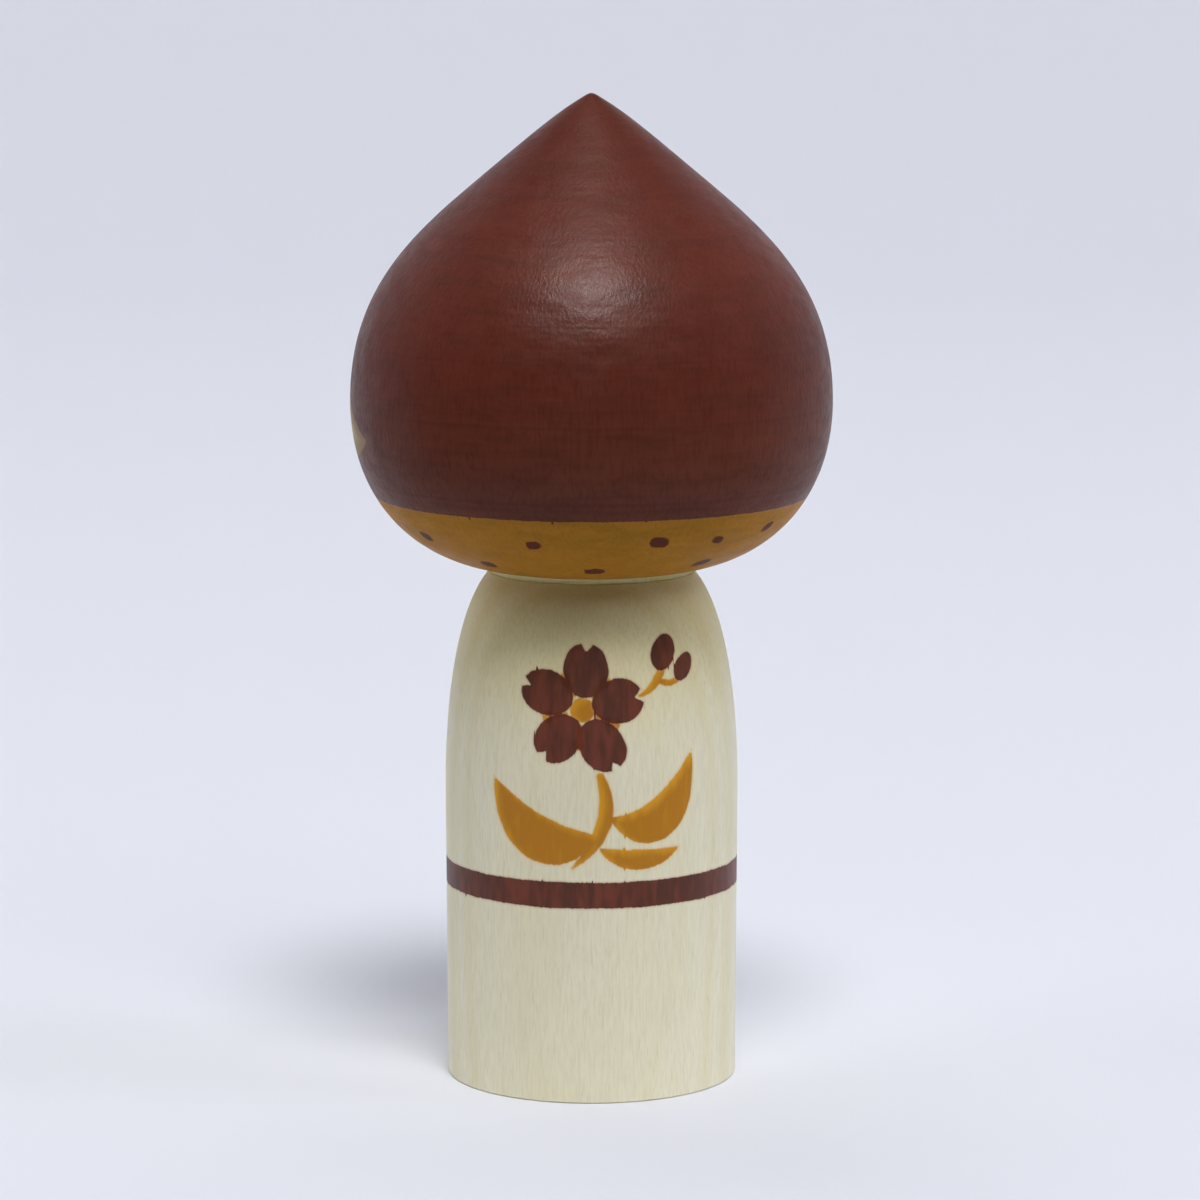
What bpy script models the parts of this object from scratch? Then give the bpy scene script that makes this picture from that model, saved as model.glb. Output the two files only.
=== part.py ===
"""A small turned wooden doll whose head has the shape of a chestnut.

It is two turned pieces. The head is painted brown above a plain ochre base band, and the tenon on its underside sits
in a socket in the body, which is bare wood with one painted ring. Units are metres, +Z is up along the turning axis,
the origin is the centre of the flat base, and the doll faces -Y.
"""

import math

import bmesh
import bpy
from mathutils import Vector
from mathutils.geometry import interpolate_bezier

MM = 0.001
SIDES = 72
CURVE_POINTS = 12
TIP_STEPS = 2
EDGE_STEPS = 3
SAME_POINT = 0.001 * MM
SHARP_ANGLE = math.radians(35)

# Body: a straight wall that tapers a little towards the base, and a shoulder that rounds in to a low collar.
BASE_RADIUS = 14.85 * MM
BASE_EDGE_ROUND = 0.15 * MM
BODY_RADIUS = 15.0 * MM
SHOULDER_START = 30.0 * MM
SHOULDER_START_HANDLE = 9.55 * MM
SHOULDER_TOP = 52.2 * MM
SHOULDER_TOP_RADIUS = 10.5 * MM
SHOULDER_TOP_SLOPE = math.radians(40.6)
SHOULDER_TOP_HANDLE = 4.85 * MM
COLLAR_RADIUS = 10.35 * MM
RING_LOW = 20.12 * MM
RING_HIGH = 22.78 * MM

# Head: a small round tip, a nearly straight flank, a full belly, and a base that tucks in to the flat underside.
APEX_HEIGHT = 100.86 * MM
TIP_ROUND = 0.8 * MM
TIP_SLOPE = math.radians(60.0)
TIP_HANDLE = 3.5 * MM
FLANK_RADIUS = 12.45 * MM
FLANK_HEIGHT = 91.25 * MM
FLANK_SLOPE = math.radians(50.0)
FLANK_HANDLE_ABOVE = 9.0 * MM
FLANK_HANDLE_BELOW = 8.75 * MM
BELLY_RADIUS = 24.5 * MM
BELLY_HEIGHT = 69.65 * MM
BELLY_HANDLE_ABOVE = 10.45 * MM
BELLY_HANDLE_BELOW = 9.0 * MM
UNDERSIDE_RADIUS = 10.65 * MM
UNDERSIDE_HEIGHT = 52.8 * MM
UNDERSIDE_SLOPE = math.radians(8.0)
UNDERSIDE_HANDLE = 8.65 * MM
OCHRE_TOP = 60.2 * MM

# The head's tenon and the socket that it sits in. Every face of the joint keeps the same small gap.
JOINT_GAP = 0.3 * MM
TENON_RADIUS = 4.5 * MM
TENON_LENGTH = 10.0 * MM
TENON_CHAMFER = 0.6 * MM

# A paint band ends this far short of a flat face that lies at its edge, and the last one reaches below everything.
BAND_MARGIN = 0.05 * MM
BELOW_ALL = -1.0 * MM

BARE_WOOD = {"name": "bare_wood", "colour": (0.67, 0.60, 0.42), "roughness": 0.55}
BROWN_PAINT = {"name": "brown_paint", "colour": (0.095, 0.026, 0.017), "roughness": 0.42}
OCHRE_PAINT = {"name": "ochre_paint", "colour": (0.27, 0.12, 0.02), "roughness": 0.42}


def clear_scene():
    for obj in list(bpy.data.objects):
        bpy.data.objects.remove(obj, do_unlink=True)


def make_material(name, colour, roughness):
    material = bpy.data.materials.new(name)
    material.use_nodes = True
    surface = material.node_tree.nodes["Principled BSDF"]
    surface.inputs["Base Color"].default_value = (*colour, 1.0)
    surface.inputs["Roughness"].default_value = roughness
    surface.inputs["Metallic"].default_value = 0.0
    return material


def point(radius, height):
    """A point of a turned profile, which is drawn in the XZ plane at +X."""
    return Vector((radius, 0.0, height))


def direction(elevation):
    """The unit vector at this angle above the horizontal, going outwards."""
    return point(math.cos(elevation), math.sin(elevation))


def downhill(slope):
    """The unit vector that goes outwards and down, at this angle from straight down."""
    return point(math.sin(slope), -math.cos(slope))


def curve(start, start_handle, end_handle, end):
    return interpolate_bezier(start, start_handle, end_handle, end, CURVE_POINTS)


def arc(centre, radius, start, end, steps):
    """Points on a round corner, from one elevation to another about its centre."""
    angles = [start + (end - start) * step / steps for step in range(steps + 1)]
    return [centre + radius * direction(angle) for angle in angles]


def with_row_at(profile, height):
    """The profile with a row added where its outer side crosses this height."""
    rows = [profile[0]]
    for above, below in zip(profile, profile[1:]):
        if above.z > height > below.z and above.x > TENON_RADIUS:
            rows.append(above.lerp(below, (above.z - height) / (above.z - below.z)))
        rows.append(below)
    return rows


def paint_bands(faces, lower_edges):
    """Gives each face the index of the first band whose lower edge it lies above."""
    for face in faces:
        height = face.calc_center_median().z
        face.material_index = next(index for index, edge in enumerate(lower_edges) if height > edge)


def turned_piece(name, profile, bands):
    """Spins a profile about Z. bands lists (lower edge, material) from the top of the piece down."""
    solid = bmesh.new()
    rows = [solid.verts.new(row) for row in profile]
    edges = [solid.edges.new(pair) for pair in zip(rows, rows[1:])]
    bmesh.ops.spin(
        solid,
        geom=rows + edges,
        cent=(0.0, 0.0, 0.0),
        axis=(0.0, 0.0, 1.0),
        angle=math.tau,
        steps=SIDES,
        use_merge=True,
    )
    bmesh.ops.remove_doubles(solid, verts=solid.verts, dist=SAME_POINT)
    bmesh.ops.recalc_face_normals(solid, faces=solid.faces)
    paint_bands(solid.faces, [lower_edge for lower_edge, _ in bands])
    mesh = bpy.data.meshes.new(name)
    solid.to_mesh(mesh)
    solid.free()
    for _, material in bands:
        mesh.materials.append(material)
    mesh.shade_smooth()
    mesh.set_sharp_from_angle(angle=SHARP_ANGLE)
    piece = bpy.data.objects.new(name, mesh)
    bpy.context.scene.collection.objects.link(piece)
    return piece


def head_outline():
    """From the tip down the outside to the edge of the underside."""
    tip_centre = point(0.0, APEX_HEIGHT - TIP_ROUND / math.sin(TIP_SLOPE))
    tip = arc(tip_centre, TIP_ROUND, math.pi / 2, TIP_SLOPE, TIP_STEPS)
    flank = point(FLANK_RADIUS, FLANK_HEIGHT)
    belly = point(BELLY_RADIUS, BELLY_HEIGHT)
    underside = point(UNDERSIDE_RADIUS, UNDERSIDE_HEIGHT)
    to_flank = curve(
        tip[-1],
        tip[-1] + TIP_HANDLE * downhill(TIP_SLOPE),
        flank - FLANK_HANDLE_ABOVE * downhill(FLANK_SLOPE),
        flank,
    )
    to_belly = curve(
        flank,
        flank + FLANK_HANDLE_BELOW * downhill(FLANK_SLOPE),
        belly + point(0.0, BELLY_HANDLE_ABOVE),
        belly,
    )
    to_underside = curve(
        belly,
        belly - point(0.0, BELLY_HANDLE_BELOW),
        underside + UNDERSIDE_HANDLE * direction(UNDERSIDE_SLOPE),
        underside,
    )
    return tip + to_flank[1:] + to_belly[1:] + to_underside[1:]


def tenon_outline():
    """From the head's underside down the tenon to the middle of its end."""
    foot = UNDERSIDE_HEIGHT - TENON_LENGTH
    return [
        point(TENON_RADIUS, UNDERSIDE_HEIGHT),
        point(TENON_RADIUS, foot + TENON_CHAMFER),
        point(TENON_RADIUS - TENON_CHAMFER, foot),
        point(0.0, foot),
    ]


def socket_outline():
    """From the middle of the socket's floor, up its wall and over the collar to the shoulder."""
    socket_radius = TENON_RADIUS + JOINT_GAP
    collar_top = UNDERSIDE_HEIGHT - JOINT_GAP
    floor = UNDERSIDE_HEIGHT - TENON_LENGTH - JOINT_GAP
    return [
        point(0.0, floor),
        point(socket_radius, floor),
        point(socket_radius, collar_top),
        point(COLLAR_RADIUS, collar_top),
        point(COLLAR_RADIUS, SHOULDER_TOP),
    ]


def body_outline():
    """From the top of the shoulder down the wall and round the bottom edge to the middle of the base."""
    top = point(SHOULDER_TOP_RADIUS, SHOULDER_TOP)
    wall = point(BODY_RADIUS, SHOULDER_START)
    edge_centre = point(BASE_RADIUS - BASE_EDGE_ROUND, BASE_EDGE_ROUND)
    shoulder = curve(
        top,
        top + SHOULDER_TOP_HANDLE * downhill(SHOULDER_TOP_SLOPE),
        wall + point(0.0, SHOULDER_START_HANDLE),
        wall,
    )
    bottom_edge = arc(edge_centre, BASE_EDGE_ROUND, 0.0, -math.pi / 2, EDGE_STEPS)
    return shoulder + bottom_edge + [point(0.0, 0.0)]


def make_head(wood, brown, ochre):
    profile = with_row_at(head_outline() + tenon_outline(), OCHRE_TOP)
    bands = [(OCHRE_TOP, brown), (UNDERSIDE_HEIGHT + BAND_MARGIN, ochre), (BELOW_ALL, wood)]
    return turned_piece("head", profile, bands)


def make_body(wood, brown):
    profile = with_row_at(socket_outline() + body_outline(), RING_HIGH)
    profile = with_row_at(profile, RING_LOW)
    bands = [(RING_HIGH, wood), (RING_LOW, brown), (BELOW_ALL, wood)]
    return turned_piece("body", profile, bands)


def main():
    clear_scene()
    wood = make_material(**BARE_WOOD)
    brown = make_material(**BROWN_PAINT)
    ochre = make_material(**OCHRE_PAINT)
    make_head(wood, brown, ochre)
    make_body(wood, brown)


main()
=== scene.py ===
import math

import bpy
import numpy as np
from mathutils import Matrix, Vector


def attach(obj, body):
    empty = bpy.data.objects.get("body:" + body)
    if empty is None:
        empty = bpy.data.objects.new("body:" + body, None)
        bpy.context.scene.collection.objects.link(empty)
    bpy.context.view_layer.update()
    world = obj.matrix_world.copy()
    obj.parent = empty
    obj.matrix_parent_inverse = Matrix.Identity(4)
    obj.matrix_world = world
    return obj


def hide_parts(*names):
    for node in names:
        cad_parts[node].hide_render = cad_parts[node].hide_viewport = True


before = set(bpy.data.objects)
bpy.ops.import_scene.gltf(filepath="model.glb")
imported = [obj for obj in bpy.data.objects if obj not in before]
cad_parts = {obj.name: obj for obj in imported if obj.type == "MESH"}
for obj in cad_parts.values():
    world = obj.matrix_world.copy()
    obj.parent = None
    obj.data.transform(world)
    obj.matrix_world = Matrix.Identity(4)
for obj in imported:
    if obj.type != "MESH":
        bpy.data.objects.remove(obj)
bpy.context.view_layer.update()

# The doll is two turned pieces of pale wood. Each is made here as a fine surface of revolution
# over its CAD solid, with painted marks held as distances in mesh attributes, which the
# materials turn into ink. Lengths are metres in the scene and millimetres in the paint. A
# bearing is an angle about +Z from the doll's face at -Y towards +X.

MM = 0.001
TAU = math.tau

# The widest radii of the two pieces, in mm.
HEAD_RADIUS = 24.5
BODY_RADIUS = 15.0

# The photograph's view: a long lens, slightly above the doll, which faces away to the left.
CAMERA_BEARING = math.radians(120.0)
CAMERA_DISTANCE = 500.0 * MM
CAMERA_HEIGHT = 127.0 * MM
CAMERA_TILT = math.radians(8.856)
CAMERA_ASIDE = 0.86 * MM
FOCAL_PIXELS = 4950.0
FRAME_PIXELS = 1200
SENSOR_WIDTH = 36.0

# The stage, in metres.
TABLE_EDGE = 0.12
FLOOR_RADIUS = 0.9
SWEEP_RADIUS = 0.9
SWEEP_STEPS = 16
WALL_HEIGHT = 1.6
STAGE_SIDES = 96
PAPER_COLOUR = (223, 225, 233)

# Each light's name, bearing from the camera, elevation, distance, size and power in degrees, metres
# and watts, whether it lights colour or shows in gloss, and its tint. The highlights have lights of
# their own, and the others only fill. All of them face the point of the axis at AIM_HEIGHT.
AIR_STRENGTH = 0.02
AIM_HEIGHT = 0.06
COLOUR = "colour"
GLOSS = "gloss"
PLAIN = (1.0, 1.0, 1.0)
COOL = (0.95, 1.0, 1.2)
LIGHTS = (
    ("key_light", 8.9, 61.5, 2.5, 0.9, 37.0, COLOUR, PLAIN),
    ("highlight", -1.0, 61.5, 2.5, 1.0, 109.0, GLOSS, PLAIN),
    ("wide_light_right", 30.0, 46.0, 2.5, 1.5, 9.2, COLOUR, PLAIN),
    ("side_light_left", -90.0, 32.0, 2.5, 2.2, 14.5, COLOUR, PLAIN),
    ("side_light_right", 90.0, 30.0, 2.5, 1.5, 18.2, COLOUR, COOL),
    ("back_light_right", 150.0, 58.0, 2.5, 1.5, 5.7, COLOUR, PLAIN),
    ("back_light_left", -150.0, 58.0, 2.5, 1.5, 9.7, COLOUR, PLAIN),
    ("top_light", 0.0, 82.0, 2.5, 1.6, 20.0, GLOSS, PLAIN),
)

# Painted limits, as heights in mm.
RING_LOW = 20.12
RING_HIGH = 22.78
OCHRE_TOP = 60.2
UNDERSIDE = 52.8

# Nearer the axis than these radii, in mm, the head bears no face and the body no ornament.
# UNPAINTED and FAR_AWAY are distances far outside every painted mark. The body's mesh has the
# fine step, in mm, only where its ornament is.
FACE_MIN_RADIUS = 12.0
ORNAMENT_MIN_RADIUS = 10.4
ORNAMENT_LOW = 22.0
ORNAMENT_HIGH = 50.0
ORNAMENT_HALF_ANGLE = math.radians(46.0)
FINE_STEP = 0.14
COARSE_STEP = 0.6
UNPAINTED = -9.0
FAR_AWAY = -99.0

# The head's mesh is closest at its tip and on its face. HEAD_ROW_STEPS pairs a height with the
# step between the rows above it, and HEAD_TURN_STEPS pairs a turn from the middle of the face,
# in degrees, with the step round the head within it. Heights and steps are in mm. An edge that
# turns by more than SHARP_ANGLE isn't shaded smooth.
HEAD_ROW_STEPS = ((99.0, 0.15), (76.5, 0.8), (61.5, 0.19), (53.0, 0.3), (0.0, 0.8))
HEAD_TURN_STEPS = ((26.0, 0.16), (56.0, 0.26), (180.0, 0.5))
SHARP_ANGLE = math.radians(40.0)

# A brush stroke is its start, the point that it bends towards, its end, and its half widths at
# the start, the middle and the end, all in mm across and up. The face's strokes lie beside its
# middle, and are mirrored in it.
EYE = ((4.1, 68.1), (6.4, 70.3), (8.7, 67.9), (0.10, 0.24, 0.10))
BROW = ((3.9, 72.0), (6.4, 73.2), (8.9, 71.7), (0.06, 0.16, 0.05))
NOSE = ((-0.1, 66.1), (0.4, 65.9), (0.75, 66.3), (0.11, 0.13, 0.08))
MOUTH = ((-0.1, 63.9), (0.5, 63.8), (0.95, 64.35), (0.32, 0.24, 0.10))
CHEEK = (11.4, 65.9)
CHEEK_RADIUS = 2.4

# The spray of blossom on the body. Each petal has its own turn in degrees, share of the full
# length and sideways bend.
BLOSSOM_MIDDLE = (-0.9, 40.3)
BLOSSOM_SIZE = 6.6
BLOSSOM_PETALS = (
    (4.0, 1.0, 0.03),
    (78.0, 0.93, -0.04),
    (150.0, 1.05, 0.04),
    (221.0, 0.96, -0.03),
    (293.0, 1.02, 0.05),
)
BUDS = (
    ((7.3, 44.6), (7.5, 45.8), (7.9, 46.9), (0.6, 1.4, 0.5)),
    ((9.4, 43.2), (10.0, 44.0), (10.7, 45.1), (0.4, 1.05, 0.4)),
)
STEM_AND_LEAVES = (
    ((0.9, 33.6), (2.9, 28.4), (-1.9, 24.3), (0.42, 0.78, 0.12)),
    ((0.6, 27.6), (-6.2, 24.2), (-10.6, 33.0), (0.1, 2.35, 0.02)),
    ((2.0, 29.4), (8.2, 25.9), (11.0, 35.6), (0.1, 2.1, 0.02)),
    ((0.9, 26.2), (4.6, 23.9), (9.4, 26.0), (0.1, 1.05, 0.02)),
    ((4.9, 41.6), (6.4, 42.0), (7.3, 43.9), (0.15, 0.34, 0.42)),
    ((7.2, 42.9), (8.2, 42.4), (9.2, 42.9), (0.2, 0.3, 0.32)),
)

# Thin paint shows along one side of each ochre stroke: the pool of thicker paint is the stroke
# shifted by this much, in mm across and up.
POOL_SHIFT = (0.5, -0.3)

# The brown dabs on the ochre base that the photograph shows: bearing from the camera in
# degrees, height and half width in mm. Two rows of further dabs go on round the far side, from
# their first bearing at their pitch.
SEEN_DABS = (
    (-56.2, 57.2, 0.90),
    (-16.4, 57.5, 0.80),
    (19.1, 57.8, 1.02),
    (38.4, 57.6, 0.74),
    (57.9, 58.2, 0.80),
    (-38.5, 54.7, 0.95),
    (1.3, 54.4, 0.98),
    (41.1, 54.8, 1.00),
)
FAR_DABS = 5
UPPER_ROW = {"first": 97.0, "pitch": 41.2, "height": 57.6, "half_width": 0.88}
LOWER_ROW = {"first": 80.5, "pitch": 40.0, "height": 54.6, "half_width": 0.95}
DAB_SEED = 11

# How strong the gloss of the head's paints is, as a specular level.
BROWN_GLOSS = 0.1
OCHRE_GLOSS = 0.02


# Turned surfaces


def cad_outline(node):
    """The node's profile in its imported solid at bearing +X, from its upper end to its lower, in metres."""
    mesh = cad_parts[node].data
    tiny = 1e-7
    places = {}
    for vertex in mesh.vertices:
        x, y, z = vertex.co
        if abs(y) < tiny and x > -tiny:
            places[vertex.index] = (round(max(x, 0.0), 7), round(z, 7))
    links = {}
    for edge in mesh.edges:
        a, b = (places.get(index) for index in edge.vertices)
        if a is not None and b is not None and a != b:
            links.setdefault(a, set()).add(b)
            links.setdefault(b, set()).add(a)
    row = max((place for place in links if len(links[place]) == 1), key=lambda place: place[1])
    outline = [row]
    while True:
        onward = [place for place in links[row] if place not in outline]
        if not onward:
            break
        row = onward[0]
        outline.append(row)
    if outline[0][0] > 0.0:
        outline.insert(0, (0.0, outline[0][1]))
    if outline[-1][0] > 0.0:
        outline.append((0.0, outline[-1][1]))
    return np.array(outline)


def natural_spline(knots, values, at):
    """Values of the natural cubic spline through (knots, values) at these places."""
    gaps = np.diff(knots)
    count = len(knots)
    system = np.eye(count)
    right = np.zeros((count, values.shape[1]))
    slopes = np.diff(values, axis=0) / gaps[:, None]
    for i in range(1, count - 1):
        system[i, i - 1] = gaps[i - 1]
        system[i, i] = 2.0 * (gaps[i - 1] + gaps[i])
        system[i, i + 1] = gaps[i]
        right[i] = 6.0 * (slopes[i] - slopes[i - 1])
    bends = np.linalg.solve(system, right)
    index = np.clip(np.searchsorted(knots, at) - 1, 0, count - 2)
    gap = gaps[index][:, None]
    ahead = (knots[index + 1] - at)[:, None]
    behind = (at - knots[index])[:, None]
    return (
        bends[index] * ahead**3 / (6.0 * gap)
        + bends[index + 1] * behind**3 / (6.0 * gap)
        + (values[index] / gap - bends[index] * gap / 6.0) * ahead
        + (values[index + 1] / gap - bends[index + 1] * gap / 6.0) * behind
    )


def fine_outline(outline, spacing):
    """The outline in mm, its round stretches smooth and its rows as close as spacing(radius, height) asks."""
    corner = math.radians(32.0)
    straight_run = 3.0
    mirrored_rows = 3
    points = outline / MM
    steps = np.diff(points, axis=0)
    lengths = np.hypot(steps[:, 0], steps[:, 1])
    headings = np.arctan2(steps[:, 1], steps[:, 0])
    turns = np.abs((np.diff(headings) + math.pi) % TAU - math.pi)
    breaks = [0]
    for i in range(1, len(points) - 1):
        if turns[i - 1] > corner or lengths[i - 1] > straight_run or lengths[i] > straight_run:
            breaks.append(i)
    breaks.append(len(points) - 1)
    rows = [points[0]]
    for start, end in zip(breaks, breaks[1:]):
        knots_at = points[start : end + 1]
        mirrored = 0
        if start == 0 and len(knots_at) > mirrored_rows + 1:
            mirrored = mirrored_rows
            knots_at = np.vstack([knots_at[mirrored:0:-1] * (-1.0, 1.0), knots_at])
        knots = run_of(knots_at)
        place = knots[mirrored]
        while True:
            step = spacing(*rows[-1])
            place += step
            if place > knots[-1] - 0.5 * step:
                rows.append(points[end])
                break
            rows.append(natural_spline(knots, knots_at, np.array([place]))[0])
    return np.array(rows)


def spread_bearings(spacing):
    """Bearings once round from 0, as close as spacing(bearing) asks, all in radians."""
    bearings = [0.0]
    while bearings[-1] < TAU:
        bearings.append(bearings[-1] + spacing(bearings[-1]))
    stretched = np.array(bearings) * TAU / bearings[-1]
    return stretched[:-1]


def apart(a, b):
    """How far bearing a is past bearing b, from minus to plus half a turn."""
    return (a - b + math.pi) % TAU - math.pi


def turned(name, rows, bearings):
    """A closed surface of revolution, whose rows of (radius, height) in mm begin and end on the axis."""
    radii, heights = rows[1:-1, 0], rows[1:-1, 1]
    count, columns = len(radii), len(bearings)
    ring = np.zeros((count, columns, 3))
    ring[..., 0] = radii[:, None] * np.sin(bearings)
    ring[..., 1] = -radii[:, None] * np.cos(bearings)
    ring[..., 2] = heights[:, None]
    points = np.vstack([[0.0, 0.0, rows[0, 1]], ring.reshape(-1, 3), [0.0, 0.0, rows[-1, 1]]]) * MM
    first = 1 + np.arange(count * columns).reshape(count, columns)
    following = np.roll(first, -1, axis=1)
    quads = np.stack([first[:-1], first[1:], following[1:], following[:-1]], axis=-1).reshape(-1, 4)
    last = len(points) - 1
    cap = [(0, a, b) for a, b in zip(first[0].tolist(), following[0].tolist())]
    floor = [(last, b, a) for a, b in zip(first[-1].tolist(), following[-1].tolist())]
    mesh = bpy.data.meshes.new(name)
    mesh.from_pydata(points.tolist(), [], cap + quads.tolist() + floor)
    mesh.update()
    mesh.shade_smooth()
    mesh.set_sharp_from_angle(angle=SHARP_ANGLE)
    piece = bpy.data.objects.new(name, mesh)
    bpy.context.scene.collection.objects.link(piece)
    return piece


def run_of(rows):
    """The length along the outline from its first row to each row."""
    return np.concatenate([[0.0], np.cumsum(np.hypot(*np.diff(rows, axis=0).T))])


def on_vertices(rows, bearings):
    """The bearing, radius, height and length along the outline of every vertex of such a surface, in mm."""
    columns = len(bearings)
    around = np.concatenate([[0.0], np.tile(bearings, len(rows) - 2), [0.0]])

    def spread(values):
        return np.concatenate([values[:1], np.repeat(values[1:-1], columns), values[-1:]])

    return around, spread(rows[:, 0]), spread(rows[:, 1]), spread(run_of(rows))


def set_attribute(piece, name, values):
    attribute = piece.data.attributes.new(name, "FLOAT", "POINT")
    attribute.data.foreach_set("value", np.asarray(values, np.float32))


# Painted marks


def stroke(across, up, start, bend, end, widths):
    """How far inside a brush stroke each point is, in mm.

    The stroke follows a quadratic curve from start to end that bends towards bend. widths are its half widths
    at the start, the middle and the end.
    """
    steps = 41
    inside = np.full(across.shape, FAR_AWAY)
    low, mid, high = widths
    for t in np.linspace(0.0, 1.0, steps):
        x = (1 - t) ** 2 * start[0] + 2 * t * (1 - t) * bend[0] + t**2 * end[0]
        y = (1 - t) ** 2 * start[1] + 2 * t * (1 - t) * bend[1] + t**2 * end[1]
        half = low * (1 - t) * (1 - 2 * t) + 4 * mid * t * (1 - t) + high * t * (2 * t - 1)
        inside = np.maximum(inside, half - np.hypot(across - x, up - y))
    return inside


def blossom(across, up):
    """Five notched petals and, apart from them, the heart with a short ray between each pair of petals.

    The petals differ a little, as brush strokes do. All measures here are shares of the size.
    """
    size = BLOSSOM_SIZE
    middle = np.array(BLOSSOM_MIDDLE)
    petals = []
    heart = [stroke(across, up, middle, middle, middle, (0.19 * size, 0.19 * size, 0.19 * size))]
    for turn, length, bend in BLOSSOM_PETALS:
        angle = math.radians(turn)
        out = size * np.array([math.sin(angle), math.cos(angle)])
        side = size * np.array([math.cos(angle), -math.sin(angle)])
        inner = middle + 0.31 * out
        outer = middle + 0.69 * length * out
        petal_halves = (0.09 * size, 0.31 * size, 0.32 * size)
        petal = stroke(across, up, inner, (inner + outer) / 2 + bend * side, outer, petal_halves)
        rim = middle + 1.12 * length * out
        notch_end = middle + 0.88 * length * out
        notch_halves = (0.14 * size, 0.07 * size, 0.0)
        notch = stroke(across, up, rim, (rim + notch_end) / 2, notch_end, notch_halves)
        petals.append(np.minimum(petal, -notch))
        between = angle + TAU / 10
        ray = size * np.array([math.sin(between), math.cos(between)])
        near = middle + 0.26 * ray
        far = middle + 0.54 * ray
        ray_halves = (0.03 * size, 0.04 * size, 0.085 * size)
        heart.append(stroke(across, up, near, (near + far) / 2, far, ray_halves))
    return np.maximum.reduce(petals), np.maximum.reduce(heart)


def spray(across, up):
    """A spray of blossom: how far inside its brown strokes and its ochre strokes each point is, in mm."""
    petals, heart = blossom(across, up)
    buds = [stroke(across, up, *bud) for bud in BUDS]
    leaves = [stroke(across, up, *leaf) for leaf in STEM_AND_LEAVES]
    return np.maximum.reduce([petals] + buds), np.maximum.reduce([heart] + leaves)


def paint_body(piece, rows, bearings):
    """The spray on the body, on the side towards the photograph's camera."""
    around, radius, _, run = on_vertices(rows, bearings)
    across = radius * apart(around, CAMERA_BEARING)
    level_height = 25.0
    off_level = np.abs(rows[:, 1] - level_height)
    off_level[rows[:, 0] < ORNAMENT_MIN_RADIUS] = np.inf
    up = level_height + (run_of(rows)[np.argmin(off_level)] - run)
    up[radius < ORNAMENT_MIN_RADIUS] = FAR_AWAY
    brown, ochre = spray(across, up)
    _, pool = spray(across - POOL_SHIFT[0], up - POOL_SHIFT[1])
    set_attribute(piece, "brown_ink", brown)
    set_attribute(piece, "ochre_ink", ochre)
    set_attribute(piece, "ochre_pool", pool)


def face_opening(around, height):
    """How far inside the bare wood of the face a point of the head is, in mm of height."""
    half_width = math.radians(52.0)
    corner_height = 66.7
    rise = 9.3
    drop = 4.2
    belly_radius = 24.3
    share = np.clip(np.abs(apart(around, 0.0)) / half_width, 0.0, 1.6)
    bow = np.cos(np.minimum(share, 1.0) * math.pi / 2)
    past = np.maximum(share - 1.0, 0.0) * half_width * belly_radius
    upper = corner_height + rise * bow**1.25 - height
    lower = height - (corner_height - drop * bow**0.6)
    return np.minimum(upper, lower) * 0.8 - past


def paint_head(piece, rows, bearings):
    """The face, and the dabs round the ochre base."""
    around, radius, height, run = on_vertices(rows, bearings)
    beside = np.abs(radius * apart(around, 0.0))
    marks = {
        "face_wood": face_opening(around, height),
        "face_ink": np.maximum.reduce([stroke(beside, height, *line) for line in (EYE, BROW, NOSE)]),
        "mouth_ink": stroke(beside, height, *MOUTH),
        "blush": CHEEK_RADIUS - np.hypot(beside - CHEEK[0], height - CHEEK[1]),
    }
    for name, inside in marks.items():
        set_attribute(piece, name, np.where(radius > FACE_MIN_RADIUS, inside, UNPAINTED))
    set_attribute(piece, "dots", base_dots(around, radius, run, rows))


def base_dots(around, radius, run, rows):
    """How far inside the two staggered rows of brown dabs round the ochre base each point is, in mm."""

    def far_dab(row, index, turn, lift, swell):
        from_camera = row["first"] + row["pitch"] * index + turn
        return from_camera, row["height"] + lift, row["half_width"] + swell

    sway = 2.0
    upper_lift = 0.2
    lower_lift = 0.15
    swelling = 0.1
    slant = 0.25
    flatness = 0.78
    tenon_clear = 11.0
    dabs = list(SEEN_DABS)
    rng = np.random.default_rng(DAB_SEED)
    for index in range(FAR_DABS):
        shift = rng.uniform(-1.0, 1.0, 5)
        swell = swelling * shift[2]
        dabs.append(far_dab(UPPER_ROW, index, sway * shift[0], upper_lift * shift[1], swell))
        dabs.append(far_dab(LOWER_ROW, index, sway * shift[3], lower_lift * shift[4], swell))
    outer = rows[:, 0] > tenon_clear
    heights = rows[outer, 1]
    runs = run_of(rows)[outer]
    power = 2.6
    inside = np.full(around.shape, UNPAINTED)
    for from_camera, dab_height, half_width in dabs:
        lean = slant * rng.uniform(-1.0, 1.0)
        across = radius * apart(around, CAMERA_BEARING + math.radians(from_camera))
        along = run - np.interp(-dab_height, -heights, runs) - lean * across
        half_length = flatness * half_width
        reach = np.abs(across / half_width) ** power + np.abs(along / half_length) ** power
        inside = np.maximum(inside, (1.0 - reach ** (1.0 / power)) * half_length)
    return inside


# Materials


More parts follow.
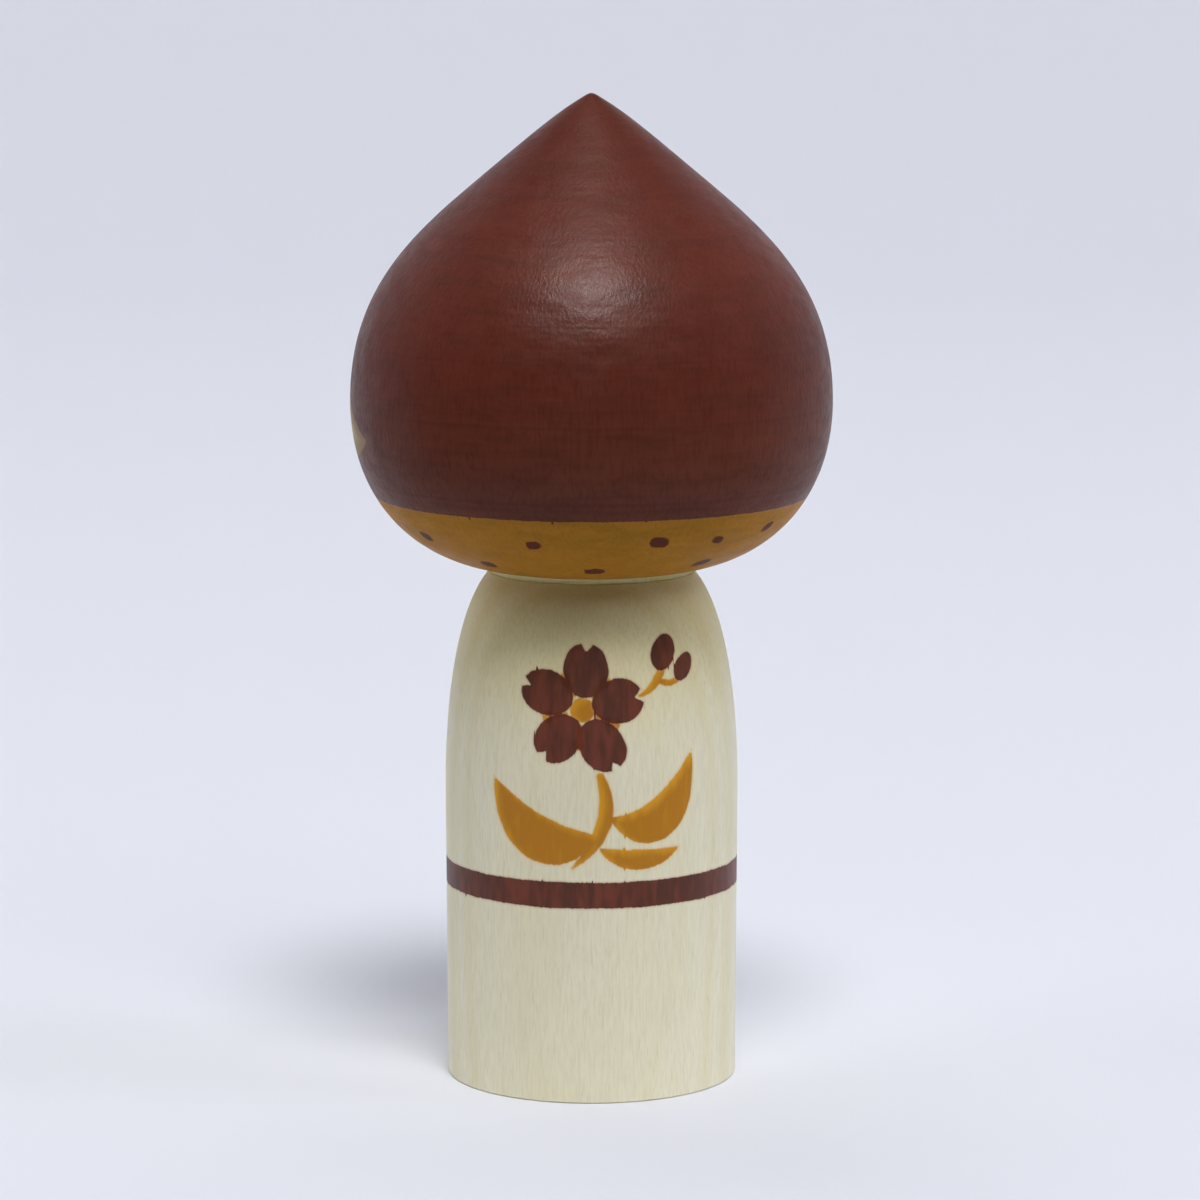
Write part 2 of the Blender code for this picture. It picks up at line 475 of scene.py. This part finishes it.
class Graph:
    """Short calls for the nodes of one material."""

    def __init__(self, name):
        self.material = bpy.data.materials.new(name)
        self.material.use_nodes = True
        self.tree = self.material.node_tree
        self.surface = self.tree.nodes["Principled BSDF"]

    def put(self, value, socket):
        if isinstance(value, bpy.types.NodeSocket):
            self.tree.links.new(value, socket)
        elif socket.type == "RGBA" and len(value) == 3:
            socket.default_value = (*value, 1.0)
        else:
            socket.default_value = value

    def node(self, kind, inputs=(), **settings):
        made = self.tree.nodes.new(kind)
        for key, value in settings.items():
            setattr(made, key, value)
        for socket, value in dict(inputs).items():
            self.put(value, made.inputs[socket])
        return made

    def place(self):
        """The point in the object's own frame, in mm."""
        coordinates = self.node("ShaderNodeTexCoord").outputs["Object"]
        return self.stretch(coordinates, (1 / MM, 1 / MM, 1 / MM))

    def stretch(self, vector, by):
        return self.node("ShaderNodeVectorMath", {0: vector, 1: by}, operation="MULTIPLY").outputs[0]

    def shift(self, vector, by):
        return self.node("ShaderNodeVectorMath", {0: vector, 1: by}, operation="ADD").outputs[0]

    def parts(self, vector):
        return self.node("ShaderNodeSeparateXYZ", {0: vector}).outputs

    def joined(self, x, y, z):
        return self.node("ShaderNodeCombineXYZ", {0: x, 1: y, 2: z}).outputs[0]

    def length(self, vector):
        return self.node("ShaderNodeVectorMath", {0: vector}, operation="LENGTH").outputs["Value"]

    def calc(self, operation, *values):
        return self.node("ShaderNodeMath", dict(enumerate(values)), operation=operation).outputs[0]

    def noise(self, vector, detail=2.0, roughness=0.5):
        inputs = {"Vector": vector, "Scale": 1.0, "Detail": detail, "Roughness": roughness}
        return self.node("ShaderNodeTexNoise", inputs).outputs["Fac"]

    def ease(self, value, low, high, to_low=0.0, to_high=1.0):
        inputs = {"Value": value, "From Min": low, "From Max": high, "To Min": to_low, "To Max": to_high}
        return self.node("ShaderNodeMapRange", inputs, interpolation_type="SMOOTHSTEP").outputs[0]

    def attribute(self, name):
        return self.node("ShaderNodeAttribute", attribute_name=name).outputs["Fac"]

    def blend(self, factor, below, above, mode="MIX"):
        made = self.node("ShaderNodeMix", data_type="RGBA", blend_type=mode)
        self.put(factor, made.inputs["Factor"])
        self.put(below, made.inputs["A"])
        self.put(above, made.inputs["B"])
        return made.outputs[2]

    def level(self, factor, below, above):
        made = self.node("ShaderNodeMix", data_type="FLOAT")
        self.put(factor, made.inputs[0])
        self.put(below, made.inputs[2])
        self.put(above, made.inputs[3])
        return made.outputs[0]

    def relief(self, *layers):
        """The sum of several noises of 0 to 1, each as high in mm as it says."""
        total = 0.0
        for height, noise in layers:
            total = self.calc("MULTIPLY_ADD", noise, height, total)
        return total

    def bump(self, height):
        """The normals of a relief whose height is in mm."""
        inputs = {"Height": height, "Distance": MM, "Strength": 1.0}
        return self.node("ShaderNodeBump", inputs).outputs["Normal"]


def rgb(red, green, blue):
    """A scene-linear colour from a display colour of 0 to 255 a channel."""

    def linear(level):
        share = level / 255.0
        return share / 12.92 if share <= 0.04045 else ((share + 0.055) / 1.055) ** 2.4

    return tuple(linear(level) for level in (red, green, blue))


def wood_colour(graph, place):
    """Pale close-grained wood, its fibres along Z and its growth rings round a pith beside the piece."""
    warp = graph.noise(graph.stretch(place, (0.06, 0.06, 0.02)), detail=1.0)
    from_pith = graph.length(graph.stretch(graph.shift(place, (38.0, 21.0, 0.0)), (1.0, 1.0, 0.0)))
    ring_place = graph.calc("MULTIPLY_ADD", warp, 5.0, from_pith)
    rings = graph.noise(graph.joined(graph.calc("MULTIPLY", ring_place, 0.42), 0.0, 0.0), detail=2.0)
    fibres = graph.noise(graph.stretch(place, (4.2, 4.2, 0.45)), detail=3.0, roughness=0.6)
    flecks = graph.noise(graph.stretch(place, (6.0, 6.0, 0.6)), detail=1.0)
    cloud = graph.noise(graph.stretch(place, (0.14, 0.14, 0.05)), detail=3.0)
    colour = graph.blend(graph.ease(rings, 0.36, 0.68, 0.0, 0.7), rgb(242, 237, 212), rgb(233, 223, 180))
    colour = graph.blend(graph.ease(cloud, 0.35, 0.7, 0.0, 0.5), colour, rgb(232, 228, 196))
    colour = graph.blend(graph.ease(fibres, 0.35, 0.75, 0.0, 0.35), colour, rgb(214, 203, 166))
    return graph.blend(graph.ease(flecks, 0.62, 0.78, 0.0, 0.17), colour, rgb(176, 160, 118))


def turning_rings(graph, place, fineness):
    """A noise that is the same all the way round, this many waves to the mm."""
    x, y, z = graph.parts(place)[0:3]
    radius = graph.length(graph.joined(x, y, 0.0))
    return graph.noise(graph.stretch(graph.joined(radius, z, 0.0), (fineness,) * 3), detail=2.0)


def bleed(graph, place):
    """How far ink creeps past its edge, in mm: a little everywhere, and along a few pores much further."""
    hand = graph.noise(graph.stretch(place, (0.45, 0.45, 0.45)), detail=1.0)
    ragged = graph.noise(graph.stretch(place, (3.2, 3.2, 0.6)), detail=2.0)
    pores = graph.noise(graph.stretch(place, (2.3, 2.3, 0.12)), detail=0.0)
    creep = graph.relief((0.22, hand), (0.2, ragged), (0.35, graph.ease(pores, 0.74, 0.86)))
    return graph.calc("SUBTRACT", creep, 0.21)


def body_material():
    graph = Graph("body_wood_and_ink")
    place = graph.place()
    height = graph.parts(place)[2]
    wood = wood_colour(graph, place)
    # Painted shade and ochre bounce light under the head: the wood is made darker and yellower from 34 mm up
    # to the head.
    painted_shade_under_head = graph.blend(1.0, wood, (1.0, 0.935, 0.67), "MULTIPLY")
    colour = graph.blend(graph.ease(height, 34.0, 51.0), wood, painted_shade_under_head)
    creep = bleed(graph, place)
    tone = graph.noise(graph.stretch(place, (1.1, 1.1, 0.25)), detail=2.0)

    ochre_edge = graph.calc("ADD", graph.attribute("ochre_ink"), creep)
    ochre = graph.ease(ochre_edge, -0.1, 0.1)
    pool = graph.calc("MULTIPLY_ADD", tone, 1.2, graph.attribute("ochre_pool"))
    ochre_ink = graph.blend(graph.ease(pool, 0.0, 1.25), rgb(222, 156, 22), rgb(186, 121, 4))
    ochre_ink = graph.blend(graph.ease(tone, 0.52, 0.75, 0.0, 0.35), ochre_ink, rgb(206, 142, 12))
    ochre_halo = graph.ease(ochre_edge, -0.4, 0.0, 0.0, 0.35)
    colour = graph.blend(ochre_halo, colour, rgb(232, 196, 112))
    colour = graph.blend(graph.calc("MULTIPLY", ochre, 0.97), colour, ochre_ink)

    ring_inside = graph.calc(
        "MINIMUM",
        graph.calc("SUBTRACT", height, RING_LOW),
        graph.calc("SUBTRACT", RING_HIGH, height),
    )
    brown_inside = graph.calc("MAXIMUM", graph.attribute("brown_ink"), ring_inside)
    brown_edge = graph.calc("ADD", brown_inside, creep)
    brown = graph.ease(brown_edge, -0.07, 0.07)
    halo = graph.ease(brown_edge, -0.32, 0.0, 0.0, 0.3)
    brown_ink = graph.blend(graph.ease(tone, 0.35, 0.7), rgb(81, 34, 24), rgb(112, 47, 32))
    colour = graph.blend(halo, colour, rgb(204, 156, 120))
    colour = graph.blend(graph.calc("MULTIPLY", brown, 0.97), colour, brown_ink)

    fibres = graph.noise(graph.stretch(place, (4.5, 4.5, 0.5)), detail=2.0)
    relief = graph.relief((0.02, fibres), (0.006, turning_rings(graph, place, 3.0)))
    graph.put(colour, graph.surface.inputs["Base Color"])
    graph.surface.inputs["Roughness"].default_value = 0.5
    graph.surface.inputs["Specular IOR Level"].default_value = 0.18
    graph.surface.inputs["Sheen Weight"].default_value = 0.12
    graph.surface.inputs["Sheen Roughness"].default_value = 0.4
    graph.surface.inputs["Sheen Tint"].default_value = (0.95, 0.95, 1.0, 1.0)
    graph.put(graph.bump(relief), graph.surface.inputs["Normal"])
    return graph.material


def head_material(name, specular):
    """Brown paint over an ochre base with dabs, and the face in bare wood; the gloss is this strong."""
    graph = Graph(name)
    place = graph.place()
    height = graph.parts(place)[2]
    creep = bleed(graph, place)
    wood = wood_colour(graph, place)

    mottle = graph.noise(graph.stretch(place, (0.3, 0.3, 0.3)), detail=4.0, roughness=0.6)
    patches = graph.noise(graph.stretch(place, (0.06, 0.06, 0.08)), detail=2.0)
    streaks = graph.noise(graph.stretch(place, (3.0, 3.0, 0.4)), detail=3.0, roughness=0.6)
    sweeps = graph.noise(graph.stretch(place, (0.15, 0.15, 0.85)), detail=4.0, roughness=0.65)
    lines = turning_rings(graph, place, 1.3)
    brown = graph.blend(graph.ease(mottle, 0.3, 0.7), rgb(98, 45, 34), rgb(105, 50, 37))
    brown = graph.blend(graph.ease(patches, 0.4, 0.65, 0.0, 0.5), brown, rgb(111, 48, 33))
    # Painted light from the floor: the brown is made paler and greyer low on the head, where it faces down.
    brown = graph.blend(graph.ease(height, 62.0, 76.0, 0.6, 0.0), brown, rgb(116, 67, 51))
    # The brown is made darker towards the tip.
    brown = graph.blend(graph.ease(height, 84.0, 96.0, 0.0, 0.5), brown, rgb(92, 44, 35))
    brown = graph.blend(graph.ease(sweeps, 0.45, 0.7, 0.0, 0.4), brown, rgb(78, 44, 31))
    brown = graph.blend(graph.ease(lines, 0.5, 0.7, 0.0, 0.3), brown, rgb(86, 41, 33))
    brown = graph.blend(graph.ease(streaks, 0.42, 0.75, 0.0, 0.4), brown, rgb(78, 33, 25))
    ochre = graph.blend(graph.ease(mottle, 0.3, 0.7), rgb(170, 114, 38), rgb(180, 126, 44))
    ochre = graph.blend(graph.ease(height, 55.0, 59.5, 0.0, 0.6), ochre, rgb(196, 137, 50))
    ochre = graph.blend(graph.ease(sweeps, 0.4, 0.66, 0.0, 0.55), ochre, rgb(159, 115, 38))
    ochre = graph.blend(graph.ease(streaks, 0.42, 0.75, 0.0, 0.4), ochre, rgb(152, 97, 24))

    dots = graph.ease(graph.calc("MULTIPLY_ADD", creep, 0.9, graph.attribute("dots")), -0.1, 0.1)
    ochre = graph.blend(graph.calc("MULTIPLY", dots, 0.92), ochre, rgb(88, 42, 40))
    band_edge = graph.calc("SUBTRACT", graph.calc("MULTIPLY_ADD", creep, 0.7, height), OCHRE_TOP)
    paint = graph.blend(graph.ease(band_edge, -0.08, 0.08), ochre, brown)

    opening_edge = graph.calc("SUBTRACT", graph.attribute("face_wood"), creep)
    opening = graph.ease(opening_edge, -0.18, 0.22)
    face_ink = graph.ease(graph.calc("MULTIPLY_ADD", creep, 0.12, graph.attribute("face_ink")), -0.04, 0.05)
    mouth = graph.ease(graph.attribute("mouth_ink"), -0.04, 0.06)
    blush = graph.ease(graph.attribute("blush"), 0.0, 2.2, 0.0, 0.42)
    face = graph.blend(graph.ease(opening_edge, 0.2, 4.0, 0.92, 0.0), wood, rgb(160, 126, 84))
    face = graph.blend(blush, face, rgb(226, 140, 112))
    face = graph.blend(mouth, face, rgb(168, 44, 34))
    face = graph.blend(face_ink, face, rgb(42, 26, 22))
    colour = graph.blend(opening, paint, face)
    colour = graph.blend(graph.ease(height, UNDERSIDE + 0.02, UNDERSIDE + 0.12), wood, colour)

    fibres = graph.noise(graph.stretch(place, (3.2, 3.2, 0.9)), detail=3.0, roughness=0.6)
    facets = graph.noise(graph.stretch(place, (0.2, 0.2, 0.5)), detail=2.0)
    relief = graph.relief(
        (0.052, fibres),
        (0.16, facets),
        (0.02, lines),
        (0.006, turning_rings(graph, place, 3.5)),
    )
    graph.put(colour, graph.surface.inputs["Base Color"])
    dull_spots = graph.noise(graph.stretch(place, (0.45, 0.45, 0.6)), detail=4.0, roughness=0.65)
    satin = graph.ease(dull_spots, 0.38, 0.62, 0.33, 0.42)
    graph.put(graph.level(opening, satin, 0.5), graph.surface.inputs["Roughness"])
    graph.surface.inputs["Specular IOR Level"].default_value = specular
    graph.surface.inputs["Specular Tint"].default_value = (1.0, 0.92, 0.9, 1.0)
    graph.put(graph.bump(relief), graph.surface.inputs["Normal"])
    return graph.material


# The doll


def head_spacing(radius, height):
    """How far apart the head's rows are, in mm."""
    return next(step for low, step in HEAD_ROW_STEPS if height > low)


def head_bearing_spacing(bearing):
    """How far apart the head's columns are, in radians."""
    turn = math.degrees(abs(apart(bearing, 0.0)))
    return next(step for limit, step in HEAD_TURN_STEPS if turn <= limit) / HEAD_RADIUS


def body_spacing(radius, height):
    """How far apart the body's rows are, in mm: closest under the ornament."""
    on_ornament = radius > ORNAMENT_MIN_RADIUS and ORNAMENT_LOW < height < ORNAMENT_HIGH
    return FINE_STEP if on_ornament else COARSE_STEP


def body_bearing_spacing(bearing):
    on_ornament = abs(apart(bearing, CAMERA_BEARING)) < ORNAMENT_HALF_ANGLE
    return (FINE_STEP if on_ornament else COARSE_STEP) / BODY_RADIUS


def make_head():
    """The head, whose painted parts above and below the top of the ochre band have materials of their own."""
    rows = fine_outline(cad_outline("head"), head_spacing)
    bearings = spread_bearings(head_bearing_spacing)
    head = turned("doll_head", rows, bearings)
    paint_head(head, rows, bearings)
    head.data.materials.append(head_material("head_brown_paint", BROWN_GLOSS))
    head.data.materials.append(head_material("head_ochre_paint", OCHRE_GLOSS))
    centres = np.empty(3 * len(head.data.polygons), np.float32)
    head.data.polygons.foreach_get("center", centres)
    below = centres.reshape(-1, 3)[:, 2] < OCHRE_TOP * MM
    head.data.polygons.foreach_set("material_index", below.astype(np.int32))
    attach(head, "root")
    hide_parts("head")


def make_body():
    """The body, whose collar is raised until it all but touches the head's underside."""
    outline = cad_outline("body")
    touching = 0.02 * MM
    collar = outline[:, 1] == outline[:, 1].max()
    outline[collar, 1] = UNDERSIDE * MM - touching
    rows = fine_outline(outline, body_spacing)
    bearings = spread_bearings(body_bearing_spacing)
    body = turned("doll_body", rows, bearings)
    paint_body(body, rows, bearings)
    body.data.materials.append(body_material())
    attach(body, "root")
    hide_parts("body")


# Stage, light and camera


def stage_part(name, outline, bearings, paper):
    """A strip of the stage: this outline of (radius, height) in metres, swept through these bearings."""
    points = []
    for radius, height in outline:
        for bearing in bearings:
            points.append((radius * math.sin(bearing), -radius * math.cos(bearing), height))
    columns = len(bearings)
    faces = []
    for ring in range(len(outline) - 1):
        for column in range(columns - 1):
            a = ring * columns + column
            faces.append((a, a + columns, a + columns + 1, a + 1))
    mesh = bpy.data.meshes.new(name)
    mesh.from_pydata(points, [], faces)
    mesh.shade_smooth()
    mesh.materials.append(paper)
    part = bpy.data.objects.new(name, mesh)
    bpy.context.scene.collection.objects.link(part)
    return part


def make_stage():
    """A pale floor that sweeps up into a wall all round.

    The far floor and the wall on the camera's side are there for other views alone: they neither light the
    doll nor show in its gloss, because the photograph's table ends there and its room is dark on that side.
    """
    graph = Graph("stage_paper")
    graph.put(rgb(*PAPER_COLOUR), graph.surface.inputs["Base Color"])
    graph.surface.inputs["Roughness"].default_value = 0.9
    graph.surface.inputs["Specular IOR Level"].default_value = 0.1
    paper = graph.material
    rise = []
    for step in range(SWEEP_STEPS + 1):
        angle = math.pi / 2 * step / SWEEP_STEPS
        rise.append((FLOOR_RADIUS + SWEEP_RADIUS * math.sin(angle), SWEEP_RADIUS * (1.0 - math.cos(angle))))
    rise.append((FLOOR_RADIUS + SWEEP_RADIUS, WALL_HEIGHT))
    half_sides = STAGE_SIDES // 2
    once_round = [TAU * step / STAGE_SIDES for step in range(STAGE_SIDES + 1)]
    half_round = [math.pi * step / half_sides for step in range(half_sides + 1)]
    behind = [CAMERA_BEARING + math.pi / 2 + turn for turn in half_round]
    before = [CAMERA_BEARING - math.pi / 2 + turn for turn in half_round]
    stage_part("stage_table", [(0.0, 0.0), (TABLE_EDGE, 0.0)], once_round, paper)
    stage_part("stage_wall", [(TABLE_EDGE, 0.0)] + rise, behind, paper)
    unlit = stage_part("stage_behind_camera", [(TABLE_EDGE, 0.0)] + rise, before, paper)
    unlit.visible_diffuse = False
    unlit.visible_glossy = False
    unlit.visible_shadow = False


def area_light(name, bearing, elevation, distance, size, power, shine, tint):
    """A soft round light that faces the doll, this far round from the camera and this high, in degrees.

    It either lights colour or shows in gloss, as shine says.
    """
    light = bpy.data.lights.new(name, "AREA")
    light.shape = "DISK"
    light.size = size
    light.energy = power
    light.color = tint
    lamp = bpy.data.objects.new(name, light)
    turn = CAMERA_BEARING + math.radians(bearing)
    rise = math.radians(elevation)
    out = Vector((math.sin(turn) * math.cos(rise), -math.cos(turn) * math.cos(rise), math.sin(rise)))
    aim = Vector((0.0, 0.0, AIM_HEIGHT))
    lamp.location = aim + distance * out
    lamp.rotation_euler = out.to_track_quat("Z", "Y").to_euler()
    lamp.visible_diffuse = shine != GLOSS
    lamp.visible_glossy = shine != COLOUR
    bpy.context.scene.collection.objects.link(lamp)


def make_light():
    world = bpy.data.worlds.new("studio_air")
    world.use_nodes = True
    air = world.node_tree.nodes["Background"]
    air.inputs["Color"].default_value = (1.0, 1.0, 1.0, 1.0)
    air.inputs["Strength"].default_value = AIR_STRENGTH
    bpy.context.scene.world = world
    for values in LIGHTS:
        area_light(*values)
    bpy.context.scene.view_settings.view_transform = "Standard"
    bpy.context.scene.view_settings.look = "None"


def make_camera():
    camera = bpy.data.cameras.new("camera")
    camera.sensor_width = SENSOR_WIDTH
    camera.lens = FOCAL_PIXELS / FRAME_PIXELS * SENSOR_WIDTH
    camera.clip_start = 0.01
    camera.clip_end = 20.0
    eye = bpy.data.objects.new("camera", camera)
    back = Vector((math.sin(CAMERA_BEARING), -math.cos(CAMERA_BEARING), 0.0))
    right = Vector((math.cos(CAMERA_BEARING), math.sin(CAMERA_BEARING), 0.0))
    eye.location = CAMERA_DISTANCE * back + CAMERA_ASIDE * right + Vector((0.0, 0.0, CAMERA_HEIGHT))
    eye.rotation_euler = (math.pi / 2 - CAMERA_TILT, 0.0, CAMERA_BEARING)
    bpy.context.scene.collection.objects.link(eye)
    bpy.context.scene.camera = eye


make_camera()
make_stage()
make_light()
make_head()
make_body()
